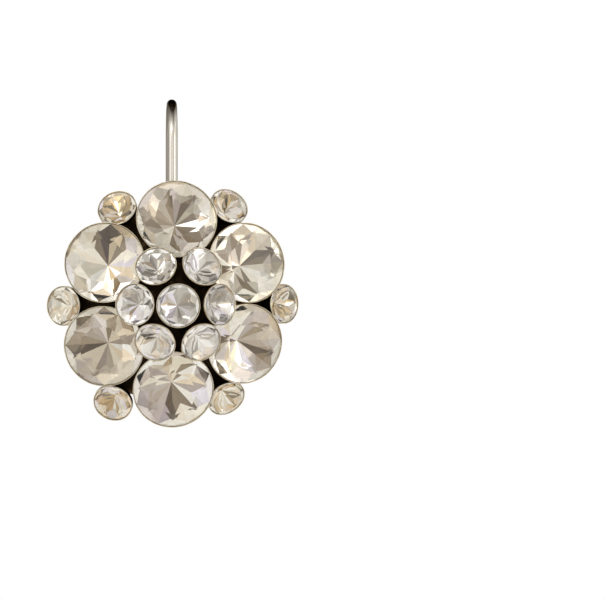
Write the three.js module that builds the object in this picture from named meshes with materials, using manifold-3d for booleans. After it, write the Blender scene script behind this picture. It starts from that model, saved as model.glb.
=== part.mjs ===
// Rhinestone cluster earring on an ear wire: six large stones in a ring, six small stones raised inside
// them, one in the middle and six more tucked in outside, each in its own cup on a scalloped back plate.
// Millimetres. The wire passes through the ear lobe at the origin, +Z is up and the stones face -Y.

import * as THREE from "three";
import { mergeVertices } from "three/addons/utils/BufferGeometryUtils.js";
import Module from "manifold-3d";

const wasm = await Module();
wasm.setup();

// Stones, by the diameter of their girdle
const largeStone = 8.0;
const innerStone = 4.0;
const outerStone = 3.8;
const centreStone = 4.2;

// The cut of every stone, as shares of its girdle's radius
const cut = {
  sides: 8,
  tableRadius: 0.58,
  crownHeight: 0.3,
  girdleHeight: 0.06,
  pavilionDepth: 0.88,
  ridgeRadius: 0.45, // where the ridges between the back's main facets fork
};

// Cups
const stoneClearance = 0.04;
const rimWall = 0.09;
const rimRise = 0.06;
const rimBand = 0.45;
const cupFloor = 0.3;
const cupFoot = 0.4; // the foot's radius, as a share of the stone's radius
const stemRadius = 0.7;
const stemRoot = 0.3; // how far a stem or foot sinks into what carries it
const largeSides = 24;
const smallSides = 18;
const stemSides = 16;

// Rings of cups, and how far each leans outwards
const ringCount = 6;
const largeLean = 18;
const innerLean = 34;
const outerLean = 36;
const ringSpacing = 0; // spare room between neighbouring cups of one ring
const outerTuck = 0.42; // how far an outer cup slips under the large rims beside it
const tierGap = 0.2; // between the inner cups and the large stones under them
const centreLift = 0.9; // of the middle stone above the inner ring
const centreDrop = 0.12; // of the middle stone below the cluster's middle

// Back plate
const plateThickness = 0.9;
const plateMargin = 1.25; // how far the plate stays inside the large stones' edge
const outerPad = 1.35;
const plateSides = 60;
const padSides = 28;

// Ear wire and the tube that holds its foot
const wireRadius = 0.52;
const archRadius = 4.0;
const wireTwist = 4; // degrees that the wire's plane turns from the cluster's middle plane
const stemAbove = 7.6; // from the arch's underside to the top stone's edge
const tailDrop = 13.2; // length of the straight tail below the origin
const tailFlickRadius = 7;
const tailFlickAngle = 26;
const wireSides = 12;
const wireSteps = 64;
const tubeWall = 0.4;
const tubeClearance = 0.1;
const tubeLength = 4.2;
const tubeFloor = 0.6;
const tubeBelowEdge = 2.6; // from the top stone's edge down to the tube's mouth
const tubeOffset = 0.3; // to the right of the cluster's middle
const tubeRoot = 0.25; // how far the tube sinks into the plate

const radians = THREE.MathUtils.degToRad;

// Every stone. At is its direction from the middle in degrees, anticlockwise from the right. Reach and lean
// are shares of its ring's radius and lean. Turn spins its facets about its own axis, in degrees.
const stoneTable = {
  large: [
    { name: "top", at: 88.6, reach: 1.045, lean: 1.0, turn: 8 },
    { name: "upper_left", at: 149, reach: 0.995, lean: 0.9, turn: 0 },
    { name: "lower_left", at: 210.5, reach: 1.0, lean: 1.0, turn: -8 },
    { name: "bottom", at: 269.2, reach: 1.035, lean: 1.1, turn: 3 },
    { name: "lower_right", at: 331, reach: 0.985, lean: 1.05, turn: 12 },
    { name: "upper_right", at: 30, reach: 1.025, lean: 0.95, turn: -5 },
  ],
  inner: [
    { name: "right", at: 0, reach: 1.0, lean: 1.05, turn: 4 },
    { name: "upper_right", at: 57, reach: 1.065, lean: 0.9, turn: 15 },
    { name: "upper_left", at: 119.5, reach: 1.035, lean: 0.9, turn: -7 },
    { name: "left", at: 180, reach: 1.0, lean: 0.85, turn: 19 },
    { name: "lower_left", at: 239, reach: 1.03, lean: 1.0, turn: 10 },
    { name: "lower_right", at: 302, reach: 1.04, lean: 0.95, turn: -12 },
  ],
  outer: [
    { name: "right", at: 0.4, reach: 1.02, lean: 1.05, turn: 9 },
    { name: "upper_right", at: 60, reach: 1.035, lean: 1.0, turn: 21 },
    { name: "upper_left", at: 120, reach: 1.01, lean: 1.0, turn: -4 },
    { name: "left", at: 180.7, reach: 0.99, lean: 1.05, turn: 13 },
    { name: "lower_left", at: 238.7, reach: 1.045, lean: 0.95, turn: 0 },
    { name: "lower_right", at: 300, reach: 0.985, lean: 1.1, turn: 17 },
  ],
};

// Cup sizes that follow a stone's diameter
function cupOf(diameter, sides) {
  const stoneRadius = diameter / 2;
  const boreRadius = (stoneRadius + stoneClearance) / Math.cos(Math.PI / sides);
  return {
    sides,
    stoneRadius,
    boreRadius,
    radius: boreRadius + rimWall,
    footRadius: cupFoot * stoneRadius,
    crown: cut.crownHeight * stoneRadius,
    girdle: cut.girdleHeight * stoneRadius,
    pavilion: cut.pavilionDepth * stoneRadius,
    depth: cut.pavilionDepth * stoneRadius + stoneClearance + cupFloor,
  };
}

const largeCup = cupOf(largeStone, largeSides);
const innerCup = cupOf(innerStone, smallSides);
const outerCup = cupOf(outerStone, smallSides);
const centreCup = cupOf(centreStone, smallSides);

// The distance from the middle at which a ring's neighbouring cups just meet, or clear the middle cup
function ringRadius(cup) {
  return (2 * cup.radius + ringSpacing) / (2 * Math.sin(Math.PI / ringCount));
}

const largeRing = ringRadius(largeCup);
const innerRing = Math.max(
  ringRadius(innerCup),
  centreCup.radius + centreDrop + innerCup.radius * Math.cos(radians(innerLean)),
);

// An outer cup lies between two large ones, at the same distance from both
const halfStep = Math.PI / ringCount;
const outerToLarge = largeCup.radius + outerCup.radius - outerTuck;
const outerRing =
  largeRing * Math.cos(halfStep) +
  Math.sqrt(Math.max(0, outerToLarge ** 2 - (largeRing * Math.sin(halfStep)) ** 2));

// Girdle heights above the plate's face. Large and outer cups stand on it by their feet, a little sunk in.
const largeHeight = largeCup.depth * Math.cos(radians(largeLean)) - stemRoot / 2;
const outerHeight = outerCup.depth * Math.cos(radians(outerLean)) - stemRoot / 2;

// An inner cup overlaps the two large stones beside it in plan, so it is lifted over their crowns.
function innerHeightAboveLarge() {
  const across = largeRing * Math.cos(halfStep) - innerRing;
  const along = largeRing * Math.sin(halfStep);
  const apart = Math.hypot(across, along);
  const innerOutward = across / apart;
  const largeInward = Math.cos(Math.atan2(along, across) - halfStep);
  const overlap = Math.max(0, largeCup.radius + innerCup.radius - apart);
  const crownSlope = largeCup.crown / (largeCup.stoneRadius * (1 - cut.tableRadius));
  const largeEdge = largeCup.stoneRadius * Math.sin(radians(largeLean)) * largeInward;
  const largeCrown = Math.min(overlap * crownSlope, largeCup.crown) * Math.cos(radians(largeLean));
  const innerEdge = innerCup.radius * Math.sin(radians(innerLean)) * innerOutward;
  return largeEdge + largeCrown + innerEdge + rimBand * Math.cos(radians(innerLean)) + tierGap;
}

const innerHeight = largeHeight + innerHeightAboveLarge();
const centreHeight = innerHeight + centreLift;

const rings = {
  large: { radius: largeRing, height: largeHeight, lean: largeLean, cup: largeCup },
  inner: { radius: innerRing, height: innerHeight, lean: innerLean, cup: innerCup },
  outer: { radius: outerRing, height: outerHeight, lean: outerLean, cup: outerCup },
};

// In the cluster's frame x is right, y is up and z points out of the plate's face at z = 0.
function stoneMatrix(ring, entry) {
  return new THREE.Matrix4()
    .makeRotationZ(radians(entry.at))
    .multiply(new THREE.Matrix4().makeTranslation(ring.radius * entry.reach, 0, ring.height))
    .multiply(new THREE.Matrix4().makeRotationY(radians(ring.lean * entry.lean)))
    .multiply(new THREE.Matrix4().makeRotationZ(radians(entry.turn)));
}

// All 19 stones, with their cups and places
const stones = Object.entries(stoneTable).flatMap(([ringName, entries]) =>
  entries.map((entry) => ({
    name: `${ringName}_stone_${entry.name}`,
    ringName,
    cup: rings[ringName].cup,
    matrix: stoneMatrix(rings[ringName], entry),
  })),
);
stones.push({
  name: "centre_stone",
  ringName: "centre",
  cup: centreCup,
  matrix: new THREE.Matrix4().makeTranslation(0, -centreDrop, centreHeight),
});

// A closed geometry as a manifold solid, placed by a matrix
function solidOf(geometry, matrix = new THREE.Matrix4()) {
  const flat = geometry.index ? geometry.toNonIndexed() : geometry;
  const bare = new THREE.BufferGeometry();
  bare.setAttribute("position", flat.getAttribute("position").clone());
  bare.applyMatrix4(matrix);
  const merged = mergeVertices(bare, 1e-4);
  return new wasm.Manifold(
    new wasm.Mesh({
      numProp: 3,
      vertProperties: new Float32Array(merged.getAttribute("position").array),
      triVerts: new Uint32Array(merged.index.array),
    }),
  );
}

// A manifold solid as a geometry
function geometryOf(solid) {
  const mesh = solid.getMesh();
  const geometry = new THREE.BufferGeometry();
  geometry.setAttribute("position", new THREE.BufferAttribute(mesh.vertProperties, 3));
  geometry.setIndex(new THREE.BufferAttribute(mesh.triVerts, 1));
  geometry.computeVertexNormals();
  return geometry;
}

// A solid of revolution about z, from [radius, height] pairs that run upwards
function turned(profile, sides) {
  const points = profile.map(([radius, height]) => new THREE.Vector2(radius, height));
  return new THREE.LatheGeometry(points, sides).rotateX(Math.PI / 2);
}

function disc(radius, low, high, sides) {
  return turned([[0, low], [radius, low], [radius, high], [0, high]], sides);
}

// The height at which the back's ridges fork, so that its main facets are flat
function ridgeHeight({ girdle, pavilion }) {
  const half = Math.PI / cut.sides;
  return -pavilion + ((pavilion - girdle) * cut.ridgeRadius * Math.cos(half)) / Math.cos(half / 2);
}

// A round stone. On the crown, bezels run from the table's sides to the girdle, with a triangle below
// each of the table's corners. On the back, main facets meet in a point, with triangles at the girdle.
function stoneGeometry(cup) {
  const half = Math.PI / cut.sides;
  const at = (share, halves, height) =>
    new THREE.Vector3(
      share * cup.stoneRadius * Math.cos(halves * half),
      share * cup.stoneRadius * Math.sin(halves * half),
      height,
    );
  const culet = at(0, 0, -cup.pavilion);
  const facets = [[]];
  for (let k = 0; k < 2 * cut.sides; k += 2) {
    const table = at(cut.tableRadius, k, cup.crown);
    const nextTable = at(cut.tableRadius, k + 2, cup.crown);
    const ridge = at(cut.ridgeRadius, k, ridgeHeight(cup));
    const nextRidge = at(cut.ridgeRadius, k + 2, ridgeHeight(cup));
    const [first, second, third] = [-0.5, 0.5, 1.5].map((step) => ({
      top: at(1, k + step, 0),
      foot: at(1, k + step, -cup.girdle),
    }));
    facets[0].push(table);
    facets.push([table, first.top, second.top], [table, second.top, third.top, nextTable]);
    facets.push([first.top, first.foot, second.foot, second.top]);
    facets.push([second.top, second.foot, third.foot, third.top]);
    facets.push([ridge, second.foot, first.foot]);
    facets.push([culet, nextRidge, third.foot, second.foot, ridge]);
  }
  const corners = facets.flatMap((facet) =>
    facet.slice(2).flatMap((corner, i) => [facet[0], facet[i + 1], corner]),
  );
  const geometry = new THREE.BufferGeometry().setFromPoints(corners);
  geometry.computeVertexNormals();
  return geometry;
}

// The outside of a cup: a foot that widens to a straight rim around the girdle
function cupGeometry(cup) {
  return turned(
    [
      [0, -cup.depth],
      [cup.footRadius, -cup.depth],
      [cup.radius, -rimBand],
      [cup.radius, rimRise],
      [0, rimRise],
    ],
    cup.sides,
  );
}

// The room that a stone takes, with clearance all round it and open upwards over its crown
function hollowGeometry(cup) {
  const slack = stoneClearance;
  const around = (share) => (cup.stoneRadius * share + slack) / Math.cos(Math.PI / cup.sides);
  return turned(
    [
      [0, -cup.pavilion - slack],
      [around(cut.ridgeRadius), ridgeHeight(cup) - slack],
      [cup.boreRadius, -cup.girdle - slack],
      [cup.boreRadius, rimRise / 2],
      [around(cut.tableRadius), cup.crown + slack],
      [0, cup.crown + slack],
    ],
    cup.sides,
  );
}

// A stem from the plate up to the foot of a raised cup
function stemSolid(stone) {
  const foot = new THREE.Vector3(0, 0, -stone.cup.depth + stemRoot).applyMatrix4(stone.matrix);
  const place = new THREE.Matrix4().makeTranslation(foot.x, foot.y, 0);
  return solidOf(disc(stemRadius, -stemRoot, foot.z, stemSides), place);
}

// The scalloped plate: a round middle with a pad under each large and each outer cup
function plateSolids() {
  const pads = stones
    .filter((stone) => stone.ringName === "large" || stone.ringName === "outer")
    .map((stone) => {
      const foot = new THREE.Vector3(0, 0, -stone.cup.depth).applyMatrix4(stone.matrix);
      const radius = stone.ringName === "large" ? largeCup.radius - plateMargin : outerPad;
      const place = new THREE.Matrix4().makeTranslation(foot.x, foot.y, 0);
      return solidOf(disc(radius, -plateThickness, 0, padSides), place);
    });
  const middle = solidOf(disc(outerRing - plateMargin, -plateThickness, 0, plateSides));
  return [middle, ...pads];
}

// The upright tube behind the plate, and its bore, in the cluster's frame
const topStone = stones[0];
const topEdge = new THREE.Vector3()
  .setFromMatrixPosition(topStone.matrix)
  .add(new THREE.Vector3(0, largeCup.radius * Math.cos(radians(largeLean)), 0)).y;
const boreRadius = wireRadius + tubeClearance;
const tubeRadius = boreRadius + tubeWall;
const tubeDepth = -plateThickness - tubeRadius + tubeRoot;
const tubeTop = topEdge - tubeBelowEdge;

function tubePart(radius, low, high) {
  const upright = new THREE.Matrix4()
    .makeTranslation(tubeOffset, 0, tubeDepth)
    .multiply(new THREE.Matrix4().makeRotationX(-Math.PI / 2));
  return solidOf(disc(radius, low, high, padSides), upright);
}

// Plate, stems, cups and tube, soldered into one piece, with the stones' and the wire's room cut out
function frameGeometry() {
  const raised = stones.filter((stone) => stone.ringName === "inner" || stone.ringName === "centre");
  const metal = [
    ...plateSolids(),
    ...raised.map(stemSolid),
    ...stones.map((stone) => solidOf(cupGeometry(stone.cup), stone.matrix)),
    tubePart(tubeRadius, tubeTop - tubeLength, tubeTop),
  ].reduce((whole, piece) => whole.add(piece));
  const room = [
    ...stones.map((stone) => solidOf(hollowGeometry(stone.cup), stone.matrix)),
    tubePart(boreRadius, tubeTop - tubeLength + tubeFloor, tubeTop + tubeLength),
  ].reduce((whole, piece) => whole.add(piece));
  return geometryOf(metal.subtract(room));
}

// The wire's centre line, in a plane of its own: s runs back from the front leg, z up. Its tail ends in
// a small outward flick.
const archTop = wireRadius;
const archMiddle = archTop - archRadius;

class PlaneArc extends THREE.Curve {
  constructor(s, z, radius, from, to) {
    super();
    Object.assign(this, { s, z, radius, from, to });
  }

  getPoint(t) {
    const angle = radians(this.from + (this.to - this.from) * t);
    return new THREE.Vector3(
      0,
      this.s + this.radius * Math.cos(angle),
      this.z + this.radius * Math.sin(angle),
    );
  }
}

function wirePath(footHeight) {
  const path = new THREE.CurvePath();
  const point = (s, z) => new THREE.Vector3(0, s, z);
  path.add(new THREE.LineCurve3(point(-archRadius, footHeight), point(-archRadius, archMiddle)));
  path.add(new PlaneArc(0, archMiddle, archRadius, 180, 0));
  path.add(new THREE.LineCurve3(point(archRadius, archMiddle), point(archRadius, -tailDrop)));
  path.add(
    new PlaneArc(archRadius + tailFlickRadius, -tailDrop, tailFlickRadius, 180, 180 + tailFlickAngle),
  );
  return path;
}

// The wire, with its tail's end rounded
function wireGeometry(footHeight) {
  const path = wirePath(footHeight);
  const section = new THREE.Shape(
    Array.from({ length: wireSides }, (_, i) => {
      const angle = (2 * Math.PI * i) / wireSides;
      return new THREE.Vector2(wireRadius * Math.cos(angle), wireRadius * Math.sin(angle));
    }),
  );
  const swept = new THREE.ExtrudeGeometry(section, {
    steps: wireSteps,
    extrudePath: path,
    bevelEnabled: false,
  });
  const end = path.getPointAt(1);
  const along = new THREE.Quaternion().setFromUnitVectors(
    new THREE.Vector3(0, 1, 0),
    path.getTangentAt(1),
  );
  const place = new THREE.Matrix4().compose(end, along, new THREE.Vector3(1, 1, 1));
  const ball = new THREE.SphereGeometry(wireRadius, wireSides, wireSides / 2);
  return geometryOf(solidOf(swept).add(solidOf(ball, place)));
}

function metal(color, roughness) {
  return new THREE.MeshStandardMaterial({ color, roughness, metalness: 1 });
}

function glass(color) {
  return new THREE.MeshStandardMaterial({ color, roughness: 0.05, metalness: 0, flatShading: true });
}

const materials = {
  wire: metal(0xc9c5bf, 0.25),
  frame: metal(0x4a4238, 0.5),
  large: glass(0xd9d0c4),
  inner: glass(0xe3e0da),
  outer: glass(0xe0d8c8),
  centre: glass(0xe6e4e0),
};

function meshOf(name, geometry, material) {
  const mesh = new THREE.Mesh(geometry, material);
  mesh.name = name;
  return mesh;
}

// The wire's front leg stands in the tube, so the cluster hangs where that puts it.
const twist = radians(wireTwist);
const cluster = new THREE.Group();
cluster.rotation.x = Math.PI / 2;
cluster.position.set(
  -archRadius * Math.sin(twist) - tubeOffset,
  -archRadius * Math.cos(twist) + tubeDepth,
  -stemAbove - topEdge,
);
cluster.add(meshOf("setting_frame", frameGeometry(), materials.frame));
for (const stone of stones) {
  const mesh = meshOf(stone.name, stoneGeometry(stone.cup), materials[stone.ringName]);
  stone.matrix.decompose(mesh.position, mesh.quaternion, mesh.scale);
  cluster.add(mesh);
}

const wireFoot = cluster.position.z + tubeTop - tubeLength + tubeFloor + tubeClearance;
const wire = meshOf("ear_hook", wireGeometry(wireFoot), materials.wire);
wire.rotation.z = -twist;

const earring = new THREE.Group();
earring.add(cluster, wire);

export default earring;
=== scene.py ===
"""The looks of a rhinestone cluster earring: cut glass on foil, dark antique cups and a silver ear wire.

Everything is in metres in the row frame: the ear wire hangs at the origin, +Z is up and the stones face -Y.
"""

import math
import random

import bmesh
import bpy
from mathutils import Matrix, Vector


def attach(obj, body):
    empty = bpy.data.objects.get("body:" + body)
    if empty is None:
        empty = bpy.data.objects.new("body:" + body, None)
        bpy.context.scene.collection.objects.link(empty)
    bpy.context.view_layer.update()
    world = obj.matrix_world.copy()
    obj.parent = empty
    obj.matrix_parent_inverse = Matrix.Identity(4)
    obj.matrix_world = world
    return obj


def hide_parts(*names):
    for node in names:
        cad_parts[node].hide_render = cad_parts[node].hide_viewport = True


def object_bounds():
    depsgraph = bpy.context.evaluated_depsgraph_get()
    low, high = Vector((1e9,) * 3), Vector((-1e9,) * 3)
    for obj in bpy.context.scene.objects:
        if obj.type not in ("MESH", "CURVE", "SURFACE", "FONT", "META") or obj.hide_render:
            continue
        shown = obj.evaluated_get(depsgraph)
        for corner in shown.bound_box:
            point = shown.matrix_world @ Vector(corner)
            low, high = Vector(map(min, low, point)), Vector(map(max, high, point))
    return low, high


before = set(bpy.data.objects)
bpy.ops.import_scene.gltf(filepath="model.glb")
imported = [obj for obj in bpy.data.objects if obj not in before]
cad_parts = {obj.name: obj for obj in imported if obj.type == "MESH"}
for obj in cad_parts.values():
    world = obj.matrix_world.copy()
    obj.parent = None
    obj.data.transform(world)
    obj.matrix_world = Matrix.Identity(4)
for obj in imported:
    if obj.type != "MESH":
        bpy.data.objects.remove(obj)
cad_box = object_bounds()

MM = 0.001

# The cut of a stone, with lengths as shares of its girdle's radius
TABLE_RADIUS = 0.58
CROWN_HEIGHT = 0.3
GIRDLE_HEIGHT = 0.06
PAVILION_DEPTH = 0.88
RIDGE_RADIUS = 0.45
FOLD = 8
GIRDLE_SIDES = 96
CUT_TOLERANCE = 1e-6
WELD_DISTANCE = 1e-5

# How a stone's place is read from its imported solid
POINT_DIGITS = 8
AXIS_ROUNDS = 60
TABLE_TOLERANCE = 0.001

# How the foil on a stone's back breaks up the light. Two zigzag rings part it into a star, kites and rim
# facets, which are zones 0 to 2. Each zone has its own change of painted tone (rim facets painted lighter),
# contrast of painted shade, lean and least tilt.
RING_RADII = (0.62, 0.84)
RING_SLANTS = (math.radians(50), math.radians(-35))
ZONE_PAINTED_TONE = (0.08, -0.02, -0.2)
ZONE_CONTRAST = (1, 0.9, 0.6)
ZONE_LEAN = (1, 0.3, -1)
ZONE_TILT = (0, 0, -math.radians(3))
BAND_TILT = math.radians(8)
LARGE_TILTS = (2, 12)
SMALL_TILTS = (4, 14)
# The small stones' painted shade on their shaded side, how narrowly that shade gathers, and the step
# between sides
SMALL_PAINTED_SHADE = 0.2
SHADE_FOCUS = 4
SHADE_STEP = 70
FIRST_SEED = 60

# The foil's faint tint by its facet's draw, from lilac over none to peach
TINTS = [
    (0.0, (0.88, 0.85, 1.0)),
    (0.25, (1.0, 1.0, 1.0)),
    (0.75, (1.0, 1.0, 1.0)),
    (1.0, (1.0, 0.88, 0.74)),
]

# Cups, plate, posts and tube
STONE_CLEARANCE = 0.04 * MM
RIM_WALL = 0.09 * MM
RIM_RISE = 0.06 * MM
RIM_ROUNDING = 0.4 * RIM_WALL
RIM_BAND = 0.45 * MM
RUBBED_BAND = 0.12 * MM
CUP_FLOOR = 0.3 * MM
CUP_FOOT = 0.4
CUP_SIDES = 72
RUBBED_ROWS = (5, 6, 7)
POST_RADIUS = 0.7 * MM
POST_SIDES = 32
ROOT = 0.3 * MM
PLATE_THICKNESS = 0.9 * MM
PLATE_ROUNDING = 0.15 * MM
PLATE_SIDES = 160
PAD_INSET = 0.05 * MM
PLATE_RADIUS = 10.0 * MM
LARGE_PAD = 2.915 * MM
OUTER_PAD = 1.35 * MM
TUBE_RADIUS = 1.02 * MM
TUBE_BORE = 0.62 * MM
TUBE_LENGTH = 4.2 * MM
TUBE_BELOW_TOP = 2.6 * MM
TUBE_EDGE = 0.1 * MM
TUBE_FLOOR = 0.6 * MM
TUBE_SUNK = 0.25 * MM
TUBE_SIDES = 40
CLUSTER_OFFSET = Vector((-0.3, 0, 0.12)) * MM

# Ear wire
FOOT_CLEARANCE = 0.1 * MM
WIRE_RADIUS = 0.52 * MM
ARCH_RADIUS = 4.0 * MM
WIRE_TWIST = math.radians(4)
TAIL_DROP = 13.2 * MM
FLICK_RADIUS = 7 * MM
FLICK_ANGLE = math.radians(26)
WIRE_SIDES = 32
LEG_STEPS = 8
ARCH_STEPS = 32
FLICK_STEPS = 12
TIP_STEPS = 6
MARK_SCALE = (6000, 6000, 300)

# Camera, by the photograph's scale and the middle stone's place in it
PHOTO_WIDTH = 605
PHOTO_HEIGHT = 600
PIXEL = 0.1005 * MM
CENTRE_PIXEL = (178.4, 305.8)
CAMERA_DISTANCE = 400 * MM
CAMERA_AZIMUTH = math.radians(-5.5)
CAMERA_CLIP = 10 * MM
SENSOR_WIDTH = 36

# Floor and light: each lamp's offset from the middle stone and its power in watts
FLOOR_DROP = 90 * MM
FLOOR_RADIUS = 200 * MM
FLOOR_SIDES = 96
LAMP_SIZE = 250 * MM
KEY_LAMP = (Vector((-250, -350, 350)) * MM, 0.25)
FILL_LAMP = (Vector((350, -400, 50)) * MM, 0.2)
PANEL_SCALE = 2.2


# Node helpers

def new_material(name):
    material = bpy.data.materials.new(name)
    material.use_nodes = True
    nodes = material.node_tree.nodes
    return material, nodes, material.node_tree.links, nodes["Principled BSDF"]


def noise_node(nodes, links, scale, detail=3.0, roughness=0.5):
    coords = nodes.new("ShaderNodeTexCoord")
    texture = nodes.new("ShaderNodeTexNoise")
    texture.inputs["Scale"].default_value = scale
    texture.inputs["Detail"].default_value = detail
    texture.inputs["Roughness"].default_value = roughness
    links.new(coords.outputs["Object"], texture.inputs["Vector"])
    return texture


def ramp_node(nodes, links, source, stops):
    ramp = nodes.new("ShaderNodeValToRGB")
    elements = ramp.color_ramp.elements
    while len(elements) < len(stops):
        elements.new(0.5)
    for element, (position, color) in zip(elements, stops):
        element.position = position
        element.color = (*color, 1)
    links.new(source, ramp.inputs["Fac"])
    return ramp


def multiply_node(nodes, links, first, second):
    mix = nodes.new("ShaderNodeMix")
    mix.data_type = "RGBA"
    mix.blend_type = "MULTIPLY"
    mix.inputs["Factor"].default_value = 1.0
    links.new(first, mix.inputs["A"])
    links.new(second, mix.inputs["B"])
    return mix


def bump_node(nodes, links, height, shader, strength, distance):
    bump = nodes.new("ShaderNodeBump")
    bump.inputs["Strength"].default_value = strength
    bump.inputs["Distance"].default_value = distance
    links.new(height, bump.inputs["Height"])
    links.new(bump.outputs["Normal"], shader.inputs["Normal"])


# Materials

def glass_material(name, clear, painted_shade_tint):
    """Cut glass over foil, with a crisp gloss. Each facet's painted light and shade tints it between clear
    and a darker tint.
    """
    material, nodes, links, shader = new_material(name)
    tone = nodes.new("ShaderNodeAttribute")
    tone.attribute_name = "painted_facet_tone"
    ramp = ramp_node(nodes, links, tone.outputs["Fac"], [(0.0, clear), (1.0, painted_shade_tint)])
    links.new(ramp.outputs["Color"], shader.inputs["Base Color"])
    shader.inputs["Roughness"].default_value = 0.0
    shader.inputs["IOR"].default_value = 1.35
    shader.inputs["Transmission Weight"].default_value = 1.0
    shader.inputs["Coat Weight"].default_value = 0.5
    shader.inputs["Coat Roughness"].default_value = 0.0
    shader.inputs["Coat IOR"].default_value = 1.5
    return material


def foil_material(name, tones):
    """Foil behind the glass. Each facet's painted light and shade, a tone from 0 to 1, picks its colour
    between the stops, and its tint adds a touch of lilac near 0 or of peach near 1."""
    material, nodes, links, shader = new_material(name)
    tone = nodes.new("ShaderNodeAttribute")
    tone.attribute_name = "painted_facet_tone"
    ramp = ramp_node(nodes, links, tone.outputs["Fac"], tones)
    cloud = noise_node(nodes, links, scale=900.0)
    veil = ramp_node(nodes, links, cloud.outputs["Fac"], [(0.3, (0.9, 0.9, 0.9)), (0.7, (1, 1, 1))])
    tint = nodes.new("ShaderNodeAttribute")
    tint.attribute_name = "facet_tint"
    blush = ramp_node(nodes, links, tint.outputs["Fac"], TINTS)
    clouded = multiply_node(nodes, links, ramp.outputs["Color"], veil.outputs["Color"])
    color = multiply_node(nodes, links, clouded.outputs["Result"], blush.outputs["Color"])
    links.new(color.outputs["Result"], shader.inputs["Base Color"])
    shader.inputs["Metallic"].default_value = 1.0
    shader.inputs["Roughness"].default_value = 0.1
    tilt = nodes.new("ShaderNodeAttribute")
    tilt.attribute_name = "facet_normal"
    world_tilt = nodes.new("ShaderNodeVectorTransform")
    world_tilt.vector_type = "NORMAL"
    world_tilt.convert_from = "OBJECT"
    world_tilt.convert_to = "WORLD"
    links.new(tilt.outputs["Vector"], world_tilt.inputs["Vector"])
    links.new(world_tilt.outputs["Vector"], shader.inputs["Normal"])
    return material


def antique_material():
    """Oxidised brass: near black, with gold-brown where it was rubbed."""
    material, nodes, links, shader = new_material("antique_brass")
    wear = noise_node(nodes, links, scale=520.0, detail=6.0, roughness=0.65)
    color = ramp_node(
        nodes,
        links,
        wear.outputs["Fac"],
        [(0.35, (0.016, 0.011, 0.008)), (0.55, (0.06, 0.038, 0.02)), (0.72, (0.32, 0.21, 0.1))],
    )
    gloss = ramp_node(nodes, links, wear.outputs["Fac"], [(0.35, (0.55,) * 3), (0.75, (0.3,) * 3)])
    links.new(color.outputs["Color"], shader.inputs["Base Color"])
    links.new(gloss.outputs["Color"], shader.inputs["Roughness"])
    shader.inputs["Metallic"].default_value = 1.0
    bump_node(nodes, links, wear.outputs["Fac"], shader, strength=0.25, distance=0.02 * MM)
    return material


def rim_material():
    """The cups' rubbed rims: worn antique gold over grey."""
    material, nodes, links, shader = new_material("worn_rim")
    wear = noise_node(nodes, links, scale=700.0, detail=5.0, roughness=0.6)
    color = ramp_node(
        nodes,
        links,
        wear.outputs["Fac"],
        [(0.3, (0.36, 0.28, 0.17)), (0.5, (0.68, 0.58, 0.41)), (0.68, (0.88, 0.81, 0.66))],
    )
    links.new(color.outputs["Color"], shader.inputs["Base Color"])
    shader.inputs["Metallic"].default_value = 1.0
    shader.inputs["Roughness"].default_value = 0.32
    bump_node(nodes, links, wear.outputs["Fac"], shader, strength=0.2, distance=0.01 * MM)
    return material


def wire_material():
    """Polished silver-tone wire: faint drawing marks, and bright and dark stripes along it painted into its
    colour by the way its surface faces, a painted reflection; faces turned up get a painted shade."""
    material, nodes, links, shader = new_material("silver_wire")
    coords = nodes.new("ShaderNodeTexCoord")
    stretch = nodes.new("ShaderNodeMapping")
    stretch.inputs["Scale"].default_value = MARK_SCALE
    marks = nodes.new("ShaderNodeTexNoise")
    marks.inputs["Scale"].default_value = 1.0
    marks.inputs["Detail"].default_value = 3.0
    links.new(coords.outputs["Object"], stretch.inputs["Vector"])
    links.new(stretch.outputs["Vector"], marks.inputs["Vector"])
    streaks = ramp_node(
        nodes, links, marks.outputs["Fac"], [(0.3, (0.9, 0.88, 0.84)), (0.7, (1.0, 0.98, 0.94))]
    )
    geometry = nodes.new("ShaderNodeNewGeometry")
    facing = nodes.new("ShaderNodeSeparateXYZ")
    links.new(geometry.outputs["Normal"], facing.inputs["Vector"])
    side = nodes.new("ShaderNodeMapRange")
    side.inputs["From Min"].default_value = -1.0
    links.new(facing.outputs["X"], side.inputs["Value"])
    # Painted reflection: bright and dark stripes by how far the surface faces left or right
    painted_reflection_bands = ramp_node(
        nodes,
        links,
        side.outputs["Result"],
        [
            (0.02, (0.22, 0.2, 0.18)),
            (0.12, (0.6, 0.57, 0.52)),
            (0.22, (1.0, 0.98, 0.92)),
            (0.46, (0.9, 0.86, 0.79)),
            (0.56, (0.58, 0.53, 0.47)),
            (0.68, (0.9, 0.87, 0.8)),
            (0.88, (0.74, 0.72, 0.67)),
            (0.98, (0.3, 0.28, 0.25)),
        ],
    )
    # Painted shade on faces turned upward, such as the arch's top
    shade = ramp_node(nodes, links, facing.outputs["Z"], [(0.3, (1, 1, 1)), (0.7, (0.05, 0.045, 0.04))])
    marks_and_painted_bands = multiply_node(nodes, links, streaks.outputs["Color"], painted_reflection_bands.outputs["Color"])
    color = multiply_node(nodes, links, marks_and_painted_bands.outputs["Result"], shade.outputs["Color"])
    gloss = ramp_node(nodes, links, marks.outputs["Fac"], [(0.3, (0.3,) * 3), (0.7, (0.18,) * 3)])
    links.new(color.outputs["Result"], shader.inputs["Base Color"])
    links.new(color.outputs["Result"], shader.inputs["Specular Tint"])
    links.new(gloss.outputs["Color"], shader.inputs["Roughness"])
    shader.inputs["Metallic"].default_value = 1.0
    bump_node(nodes, links, marks.outputs["Fac"], shader, strength=0.05, distance=0.01 * MM)
    return material


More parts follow.
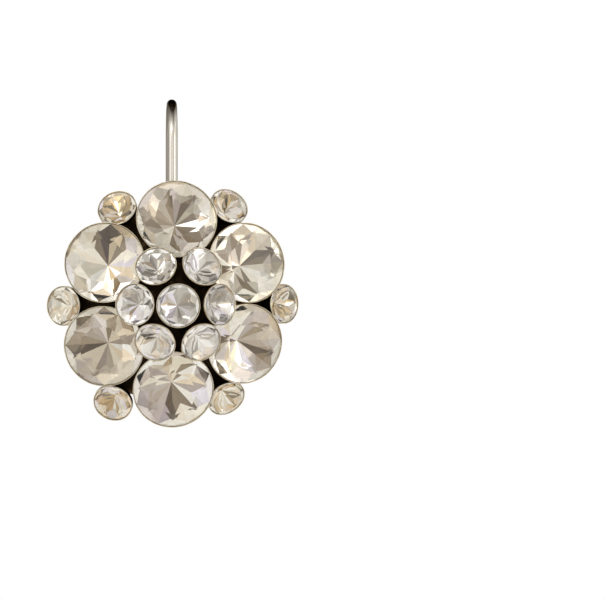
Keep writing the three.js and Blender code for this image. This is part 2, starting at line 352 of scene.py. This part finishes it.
def floor_material():
    """A pale matt floor that glows a little, so that it stays close to white."""
    material, nodes, links, shader = new_material("pale_floor")
    shader.inputs["Base Color"].default_value = (0.9, 0.9, 0.9, 1)
    shader.inputs["Roughness"].default_value = 0.8
    shader.inputs["Emission Color"].default_value = (1, 1, 1, 1)
    shader.inputs["Emission Strength"].default_value = 0.1
    return material


# Mesh helpers

def piece_of(name, bm, materials, replaced):
    """A mesh object of its own that rides on the earring's one body."""
    mesh = bpy.data.meshes.new(name)
    bm.to_mesh(mesh)
    bm.free()
    for material in materials:
        mesh.materials.append(material)
    piece = bpy.data.objects.new(name, mesh)
    bpy.context.scene.collection.objects.link(piece)
    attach(piece, "root")
    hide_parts(replaced)


def lathe(bm, profile, sides, matrix, rim_rows=()):
    """A turned body from (radius, height) pairs, on the axis at both ends. Its rim rows take the second
    material."""
    rows = []
    for radius, height in profile:
        if radius == 0:
            rows.append([bm.verts.new(matrix @ Vector((0, 0, height)))])
            continue
        rows.append([
            bm.verts.new(matrix @ Vector((
                radius * math.cos(2 * math.pi * i / sides),
                radius * math.sin(2 * math.pi * i / sides),
                height,
            )))
            for i in range(sides)
        ])
    for level, (low, high) in enumerate(zip(rows, rows[1:])):
        for i in range(sides):
            j = (i + 1) % sides
            corners = [low[i % len(low)], low[j % len(low)], high[j % len(high)], high[i % len(high)]]
            face = bm.faces.new(list(dict.fromkeys(corners)))
            face.smooth = True
            if level in rim_rows:
                face.material_index = 1


# Stones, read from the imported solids

class StonePlace:
    """Where a stone is: its girdle's middle, its radius, and a matrix that places a stone of radius 1."""

    def __init__(self, node):
        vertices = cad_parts[node].data.vertices
        points = {tuple(round(c, POINT_DIGITS) for c in v.co) for v in vertices}
        points = [Vector(p) for p in sorted(points)]
        middle = sum(points, Vector()) / len(points)
        spread = Matrix(((0, 0, 0), (0, 0, 0), (0, 0, 0)))
        for p in points:
            d = p - middle
            for i in range(3):
                for j in range(3):
                    spread[i][j] += d[i] * d[j]
        # The axis is the direction of least spread, which the inverse finds when applied over and over
        axis = Vector((0.1, -1, 0.1)).normalized()
        inverse = spread.inverted()
        for _ in range(AXIS_ROUNDS):
            axis = (inverse @ axis).normalized()
        heights = [(p - middle).dot(axis) for p in points]
        if max(heights) > -min(heights):
            axis = -axis
            heights = [-h for h in heights]
        self.axis = axis
        culet = middle + axis * min(heights)
        self.radius = max(((p - middle) - axis * (p - middle).dot(axis)).length for p in points)
        self.centre = culet + axis * PAVILION_DEPTH * self.radius
        top = max(heights)
        corner = next(p for p, h in zip(points, heights) if h > top - TABLE_TOLERANCE * self.radius)
        across = corner - self.centre
        across = (across - axis * across.dot(axis)).normalized()
        side = axis.cross(across)
        turn = Matrix((across, side, axis)).transposed().to_4x4()
        self.matrix = Matrix.Translation(self.centre) @ turn @ Matrix.Scale(self.radius, 4)

    def frame_matrix(self):
        """The same place for a body whose sizes are in metres."""
        return self.matrix @ Matrix.Scale(1 / self.radius, 4)


stone_nodes = sorted(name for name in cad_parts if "_stone" in name)
places = {name: StonePlace(name) for name in stone_nodes}


def ridge_height():
    """The height at which the back's ridges fork, so that its main facets are flat."""
    rise = (PAVILION_DEPTH - GIRDLE_HEIGHT) * math.cos(math.pi / FOLD)
    return rise * RIDGE_RADIUS - PAVILION_DEPTH


def facet_planes():
    """The cut's planes as (point, outward normal): the table, a facet at each of its corners and a bezel
    at each of its sides, and on the back the girdle facets and the main ones, which meet in a point."""
    half = math.pi / FOLD
    table_side = TABLE_RADIUS * math.cos(half)

    def plane(steps, inner, outer, up):
        """A plane that faces along steps and runs from one (radius, height) to the other."""
        across = Vector((math.cos(steps * half), math.sin(steps * half), 0))
        run = Vector((outer[0] - inner[0], outer[1] - inner[1]))
        normal = across * -run.y * up + Vector((0, 0, run.x * up))
        return across * outer[0] + Vector((0, 0, outer[1])), normal.normalized()

    planes = [(Vector((0, 0, CROWN_HEIGHT)), Vector((0, 0, 1)))]
    for k in range(0, 2 * FOLD, 2):
        planes.append(plane(k, (TABLE_RADIUS, CROWN_HEIGHT), (1, 0), 1))
        planes.append(plane(k + 1, (table_side, CROWN_HEIGHT), (1, 0), 1))
        planes.append(plane(k, (RIDGE_RADIUS, ridge_height()), (1, -GIRDLE_HEIGHT), -1))
        planes.append(plane(k + 1, (0, -PAVILION_DEPTH), (1, -GIRDLE_HEIGHT), -1))
    return planes


def steps_round(middle):
    """How far round the axis a facet's middle is, in halves of the angle between two facets of a kind."""
    return math.atan2(middle.y, middle.x) / (math.pi / FOLD)


def zone_planes(k):
    """The planes that part sector k of the back into zones, slanted to and fro so that they form a star."""
    angle = (k + 0.5) * math.pi / FOLD
    outward = Vector((math.cos(angle), math.sin(angle), 0))
    side = 1 if k % 2 == 0 else -1
    return [
        (outward * ring, Matrix.Rotation(side * slant, 3, "Z") @ outward)
        for ring, slant in zip(RING_RADII, RING_SLANTS)
    ]


def split_back(bm, point, across, sector=None):
    """Split the back's facets by a plane, in one sector or in all, so that each part can have its tone."""
    back = []
    for face in bm.faces:
        middle = face.calc_center_median()
        inside = sector is None or math.floor(steps_round(middle)) % (2 * FOLD) == sector
        if middle.z < -GIRDLE_HEIGHT and inside:
            back.append(face)
    edges = list({edge for face in back for edge in face.edges})
    corners = list({corner for face in back for corner in face.verts})
    geometry = corners + edges + back
    bmesh.ops.bisect_plane(bm, geom=geometry, dist=CUT_TOLERANCE, plane_co=point, plane_no=across)


def cut_stone():
    """A round stone of radius 1, cut plane by plane from a turned blank."""
    bm = bmesh.new()
    lathe(bm, [(0, -1), (1, -1), (1, 0.5), (0, 0.5)], GIRDLE_SIDES, Matrix())
    for point, normal in facet_planes():
        geometry = bm.verts[:] + bm.edges[:] + bm.faces[:]
        cut = bmesh.ops.bisect_plane(
            bm, geom=geometry, dist=CUT_TOLERANCE, plane_co=point, plane_no=normal, clear_outer=True
        )
        edges = [e for e in cut["geom_cut"] if isinstance(e, bmesh.types.BMEdge)]
        if edges:
            bmesh.ops.edgeloop_fill(bm, edges=edges)
    bmesh.ops.remove_doubles(bm, verts=bm.verts, dist=WELD_DISTANCE)
    for k in range(FOLD):
        angle = k * math.pi / FOLD
        split_back(bm, Vector(), Vector((math.cos(angle), math.sin(angle), 0)))
    for k in range(2 * FOLD):
        for point, across in zone_planes(k):
            split_back(bm, point, across, k)
    bmesh.ops.recalc_face_normals(bm, faces=bm.faces)
    for face in bm.faces:
        face.smooth = False
    return bm


def build_stone(node, place, look, shade_at, seed):
    """A stone in place of its solid, with clear glass on top and foil on its back. The foil's slight tilts
    stand for the light that real facets return, and each facet gets a painted tone of light or shade,
    partly at random. Facets towards shade_at, in degrees anticlockwise from the right as seen from the
    front, get a deeper painted shade."""
    bm = bmesh.new()
    bm.from_mesh(unit_stone)
    chance = random.Random(seed)
    tint_chance = random.Random(seed)
    draws = {}
    tones = bm.faces.layers.float.new("painted_facet_tone")
    tints = bm.faces.layers.float.new("facet_tint")
    normals = bm.faces.layers.float_vector.new("facet_normal")
    turn = place.matrix.to_3x3().normalized()
    low, high = look["tilts"]
    for face in bm.faces:
        middle = face.calc_center_median()
        face.material_index = 1 if middle.z < 0 else 0
        # How near the facet lies to its stone's side of painted shade
        offset = turn @ middle
        angle = math.atan2(offset.z, offset.x) - math.radians(shade_at)
        closeness = max(0.0, math.cos(angle)) ** SHADE_FOCUS
        inward = Vector((-middle.x, -middle.y, 0)).normalized()
        steps = steps_round(middle)
        sector = math.floor(steps)
        zone = sum((middle - point).dot(across) > 0 for point, across in zone_planes(sector))
        part = (sector, sector // 2, (sector + 1) // 2 % FOLD)[zone]
        if middle.z > 0:
            part = ("crown", round(steps))
        draw = (chance.random(), chance.uniform(-1, 1), tint_chance.random())
        lean, toss, face[tints] = draws.setdefault((part, zone), draw)
        tilt = ZONE_TILT[zone] + ZONE_LEAN[zone] * math.radians(low + (high - low) * lean)
        if -GIRDLE_HEIGHT < middle.z < 0:
            tilt = BAND_TILT
        face[normals] = turn @ (Vector((0, 0, 1)) * math.cos(tilt) + inward * math.sin(tilt))
        # The facet's painted tone: its kind's and zone's, painted shade towards shade_at and a random
        # spread
        change = look["depth"] * closeness + look["spread"] * toss
        tone = look["tone"] + ZONE_PAINTED_TONE[zone] + ZONE_CONTRAST[zone] * change
        face[tones] = min(1.0, max(0.0, tone))
    bm.transform(place.matrix)
    piece_of(node + "_cut", bm, [clear_glass, look["foil"]], node)


# Settings

def cup_profile(radius):
    """A cup's section, from its foot's middle round the rim to the seat's middle."""
    bore = radius + STONE_CLEARANCE
    outer = bore + RIM_WALL
    depth = PAVILION_DEPTH * radius + STONE_CLEARANCE + CUP_FLOOR
    foot = CUP_FOOT * radius
    return [
        (0, -depth),
        (foot - RIM_ROUNDING, -depth),
        (foot, RIM_ROUNDING - depth),
        (outer - RIM_ROUNDING, -RIM_BAND - RIM_ROUNDING),
        (outer, RIM_ROUNDING - RIM_BAND),
        (outer, -RUBBED_BAND),
        (outer, RIM_RISE - RIM_ROUNDING),
        (outer - RIM_ROUNDING, RIM_RISE),
        (bore, 0),
        (bore, -GIRDLE_HEIGHT * radius - STONE_CLEARANCE),
        (RIDGE_RADIUS * radius, ridge_height() * radius - STONE_CLEARANCE),
        (0, -PAVILION_DEPTH * radius - STONE_CLEARANCE),
    ]


def disc_profile(radius, low, high, round_over):
    """The section of a disc from one height to the other, with rounded edges."""
    return [
        (0, low),
        (radius - round_over, low),
        (radius, low + round_over),
        (radius, high - round_over),
        (radius - round_over, high),
        (0, high),
    ]


def tube_place():
    """The top of the tube's axis: on the wire's front leg, below the top cup's highest point."""
    top = places["large_stone_top"]
    outer = top.radius + STONE_CLEARANCE + RIM_WALL
    top_edge = top.centre.z + outer * math.sqrt(1 - top.axis.z ** 2)
    front = -ARCH_RADIUS * Vector((math.sin(WIRE_TWIST), math.cos(WIRE_TWIST), 0))
    return front + Vector((0, 0, top_edge - TUBE_BELOW_TOP))


def tube_profile():
    """The tube's section, from its closed end round the mouth to the floor of its bore."""
    return [
        (0, -TUBE_LENGTH),
        (TUBE_RADIUS - TUBE_EDGE, -TUBE_LENGTH),
        (TUBE_RADIUS, TUBE_EDGE - TUBE_LENGTH),
        (TUBE_RADIUS, -TUBE_EDGE),
        (TUBE_RADIUS - TUBE_EDGE, 0),
        (TUBE_BORE + TUBE_EDGE, 0),
        (TUBE_BORE, -TUBE_EDGE),
        (TUBE_BORE, TUBE_FLOOR - TUBE_LENGTH),
        (0, TUBE_FLOOR - TUBE_LENGTH),
    ]


def build_setting():
    """The plate, with a pad or a post under each cup, the cups and the tube."""
    bm = bmesh.new()
    tube = tube_place()
    plate_front = tube.y - TUBE_RADIUS + TUBE_SUNK - PLATE_THICKNESS

    def stand(profile, sides, place):
        """Turn a body that stands on the plate's front, towards -Y."""
        foot = Matrix.Translation((place.x, plate_front, place.z))
        lathe(bm, profile, sides, foot @ Matrix.Rotation(math.pi / 2, 4, "X"))

    middle = Vector((tube.x, 0, places["centre_stone"].centre.z)) + CLUSTER_OFFSET
    stand(disc_profile(PLATE_RADIUS, -PLATE_THICKNESS, 0, PLATE_ROUNDING), PLATE_SIDES, middle)
    for name, place in places.items():
        depth = PAVILION_DEPTH * place.radius + STONE_CLEARANCE + CUP_FLOOR
        foot = place.centre - place.axis * depth
        if name.startswith(("large", "outer")):
            radius = LARGE_PAD if name.startswith("large") else OUTER_PAD
            pad = disc_profile(radius, PAD_INSET - PLATE_THICKNESS, -PAD_INSET, PLATE_ROUNDING)
            stand(pad, CUP_SIDES, foot)
        else:
            stand(disc_profile(POST_RADIUS, -ROOT, plate_front - foot.y, TUBE_EDGE), POST_SIDES, foot)
        lathe(bm, cup_profile(place.radius), CUP_SIDES, place.frame_matrix(), RUBBED_ROWS)
    lathe(bm, tube_profile(), TUBE_SIDES, Matrix.Translation(tube))
    piece_of("setting", bm, [antique_material(), rim_material()], "setting_frame")


# Ear wire

def wire_points(foot_height):
    """The wire's centre line in its own plane, as (back, up) pairs from the foot to the tail's tip."""
    middle = WIRE_RADIUS - ARCH_RADIUS
    points = [
        (-ARCH_RADIUS, foot_height + (middle - foot_height) * i / LEG_STEPS) for i in range(LEG_STEPS)
    ]
    for i in range(ARCH_STEPS + 1):
        angle = math.pi * (1 - i / ARCH_STEPS)
        points.append((ARCH_RADIUS * math.cos(angle), middle + ARCH_RADIUS * math.sin(angle)))
    for i in range(1, LEG_STEPS + 1):
        points.append((ARCH_RADIUS, middle + (-TAIL_DROP - middle) * i / LEG_STEPS))
    for i in range(1, FLICK_STEPS + 1):
        angle = math.pi + FLICK_ANGLE * i / FLICK_STEPS
        points.append((
            ARCH_RADIUS + FLICK_RADIUS * (1 + math.cos(angle)),
            -TAIL_DROP + FLICK_RADIUS * math.sin(angle),
        ))
    return points


def swept_wire(bm, points):
    """A round wire along points, flat at its foot and domed at its tip."""
    rows = []

    def ring(centre, along, size):
        side = Vector((math.cos(WIRE_TWIST), -math.sin(WIRE_TWIST), 0))
        other = along.cross(side)
        rows.append([
            bm.verts.new(
                centre
                + side * size * math.cos(2 * math.pi * i / WIRE_SIDES)
                + other * size * math.sin(2 * math.pi * i / WIRE_SIDES)
            )
            for i in range(WIRE_SIDES)
        ])

    for i, point in enumerate(points):
        along = (points[min(i + 1, len(points) - 1)] - points[max(i - 1, 0)]).normalized()
        ring(point, along, WIRE_RADIUS)
    for i in range(1, TIP_STEPS):
        angle = math.pi / 2 * i / TIP_STEPS
        ring(points[-1] + along * WIRE_RADIUS * math.sin(angle), along, WIRE_RADIUS * math.cos(angle))
    for low, high in zip(rows, rows[1:]):
        for i in range(WIRE_SIDES):
            j = (i + 1) % WIRE_SIDES
            bm.faces.new((low[i], low[j], high[j], high[i])).smooth = True
    bm.faces.new(rows[0][::-1])
    tip = bm.verts.new(points[-1] + along * WIRE_RADIUS)
    for i in range(WIRE_SIDES):
        bm.faces.new((rows[-1][i], rows[-1][(i + 1) % WIRE_SIDES], tip)).smooth = True


def build_wire():
    """The ear wire, with its foot a little above the tube's floor and its plane turned by the twist."""
    foot_height = tube_place().z - TUBE_LENGTH + TUBE_FLOOR + FOOT_CLEARANCE
    across = Vector((math.sin(WIRE_TWIST), math.cos(WIRE_TWIST), 0))
    path = [across * back + Vector((0, 0, up)) for back, up in wire_points(foot_height)]
    bm = bmesh.new()
    swept_wire(bm, path)
    piece_of("wire", bm, [wire_material()], "ear_hook")


# Floor, light and camera

def build_floor():
    bpy.ops.mesh.primitive_circle_add(
        vertices=FLOOR_SIDES,
        radius=FLOOR_RADIUS,
        fill_type="NGON",
        location=(0, 0, cad_box[0][2] - FLOOR_DROP),
    )
    floor = bpy.context.object
    floor.name = "floor"
    floor.data.materials.append(floor_material())


def build_world():
    """White to the camera. Everything else sees a light tent of brighter and dimmer panels."""
    world = bpy.data.worlds.new("studio")
    bpy.context.scene.world = world
    world.use_nodes = True
    nodes = world.node_tree.nodes
    links = world.node_tree.links
    nodes.clear()
    output = nodes.new("ShaderNodeOutputWorld")
    coords = nodes.new("ShaderNodeTexCoord")
    cells = nodes.new("ShaderNodeTexVoronoi")
    cells.inputs["Scale"].default_value = PANEL_SCALE
    links.new(coords.outputs["Generated"], cells.inputs["Vector"])
    cell = nodes.new("ShaderNodeSeparateColor")
    links.new(cells.outputs["Color"], cell.inputs["Color"])
    panels = ramp_node(
        nodes,
        links,
        cell.outputs["Red"],
        [
            (0.0, (0.45, 0.44, 0.42)),
            (0.2, (0.75, 0.73, 0.7)),
            (0.5, (0.9, 0.88, 0.86)),
            (0.8, (1.02, 1.01, 1.0)),
            (0.95, (1.2, 1.2, 1.2)),
        ],
    )
    studio = nodes.new("ShaderNodeBackground")
    links.new(panels.outputs["Color"], studio.inputs["Color"])
    white = nodes.new("ShaderNodeBackground")
    white.inputs["Color"].default_value = (1, 1, 1, 1)
    path = nodes.new("ShaderNodeLightPath")
    mix = nodes.new("ShaderNodeMixShader")
    links.new(path.outputs["Is Camera Ray"], mix.inputs["Fac"])
    links.new(studio.outputs["Background"], mix.inputs[1])
    links.new(white.outputs["Background"], mix.inputs[2])
    links.new(mix.outputs["Shader"], output.inputs["Surface"])


def area_light(name, offset, power):
    """A soft lamp at an offset from the middle stone, which it faces."""
    data = bpy.data.lights.new(name, "AREA")
    data.size = LAMP_SIZE
    data.energy = power
    lamp = bpy.data.objects.new(name, data)
    lamp.location = places["centre_stone"].centre + offset
    lamp.rotation_euler = (-offset).to_track_quat("-Z", "Y").to_euler()
    bpy.context.scene.collection.objects.link(lamp)


def build_camera():
    """A camera that sees the middle stone at its place in the photograph, at the photograph's scale."""
    right = Vector((math.cos(CAMERA_AZIMUTH), math.sin(CAMERA_AZIMUTH), 0))
    up = Vector((0, 0, 1))
    back = right.cross(up)
    middle = places["centre_stone"].centre
    place = middle + back * CAMERA_DISTANCE
    aim = (
        middle
        + right * (PHOTO_WIDTH / 2 - CENTRE_PIXEL[0]) * PIXEL
        + up * (CENTRE_PIXEL[1] - PHOTO_HEIGHT / 2) * PIXEL
    )
    data = bpy.data.cameras.new("camera")
    data.sensor_width = SENSOR_WIDTH
    data.lens = data.sensor_width * CAMERA_DISTANCE / (PHOTO_WIDTH * PIXEL)
    data.clip_start = CAMERA_CLIP
    camera = bpy.data.objects.new("camera", data)
    camera.location = place
    camera.rotation_euler = (aim - place).to_track_quat("-Z", "Y").to_euler()
    bpy.context.scene.collection.objects.link(camera)
    bpy.context.scene.camera = camera


# The stones, the setting and the wire, then the studio

unit_stone = bpy.data.meshes.new("unit_stone")
unit_bm = cut_stone()
unit_bm.to_mesh(unit_stone)
unit_bm.free()

# The glass and foil colours from bright to dark, picked by each facet's painted light and shade
clear_glass = glass_material("clear_glass", (1.0, 1.0, 1.0), (0.76, 0.74, 0.71))
foil_large = foil_material(
    "champagne_foil",
    [
        (0.0, (1.0, 0.98, 0.9)),
        (0.25, (0.92, 0.86, 0.7)),
        (0.45, (0.73, 0.65, 0.51)),
        (0.6, (0.6, 0.54, 0.48)),
        (0.8, (0.41, 0.33, 0.22)),
        (1.0, (0.14, 0.11, 0.08)),
    ],
)
foil_inner = foil_material(
    "silver_foil",
    [
        (0.0, (1.0, 0.98, 0.93)),
        (0.35, (0.82, 0.79, 0.72)),
        (0.6, (0.58, 0.55, 0.49)),
        (0.85, (0.36, 0.33, 0.28)),
        (1.0, (0.12, 0.1, 0.08)),
    ],
)
foil_outer = foil_material(
    "amber_foil",
    [
        (0.0, (1.0, 0.97, 0.88)),
        (0.35, (0.82, 0.77, 0.64)),
        (0.6, (0.7, 0.52, 0.27)),
        (0.85, (0.38, 0.32, 0.22)),
        (1.0, (0.12, 0.1, 0.07)),
    ],
)

# For each kind of stone: its foil and slot, the range of the foil's tilts in degrees, and its painted tone
# from bright at 0 to dark at 1, with the tone's random spread and the painted shade that the shaded side
# adds
stone_looks = {
    "large": dict(
        foil=foil_large, slot="large_glass", tilts=LARGE_TILTS, tone=0.34, spread=0.5, depth=0.4
    ),
    "inner": dict(
        foil=foil_inner, slot="small_glass", tilts=SMALL_TILTS, tone=0.34, spread=0.55, depth=SMALL_PAINTED_SHADE
    ),
    "outer": dict(
        foil=foil_outer, slot="outer_glass", tilts=SMALL_TILTS, tone=0.35, spread=0.5, depth=SMALL_PAINTED_SHADE
    ),
    "centre": dict(
        foil=foil_inner, slot="small_glass", tilts=SMALL_TILTS, tone=0.32, spread=0.45, depth=SMALL_PAINTED_SHADE
    ),
}

# The side of a large stone whose facets get its darkest painted shade, in degrees anticlockwise from the
# right
shade_at = {
    "large_stone_top": 60,
    "large_stone_upper_left": 95,
    "large_stone_lower_left": 215,
    "large_stone_bottom": 270,
    "large_stone_lower_right": 350,
    "large_stone_upper_right": 25,
}

for index, name in enumerate(stone_nodes):
    look = stone_looks[name.split("_")[0]]
    shade = shade_at.get(name, SHADE_STEP * index)
    build_stone(name, places[name], look, shade, seed=FIRST_SEED + index)

build_setting()
build_wire()
build_floor()
build_world()
area_light("key", *KEY_LAMP)
area_light("fill", *FILL_LAMP)
build_camera()
bpy.context.scene.view_settings.view_transform = "Standard"
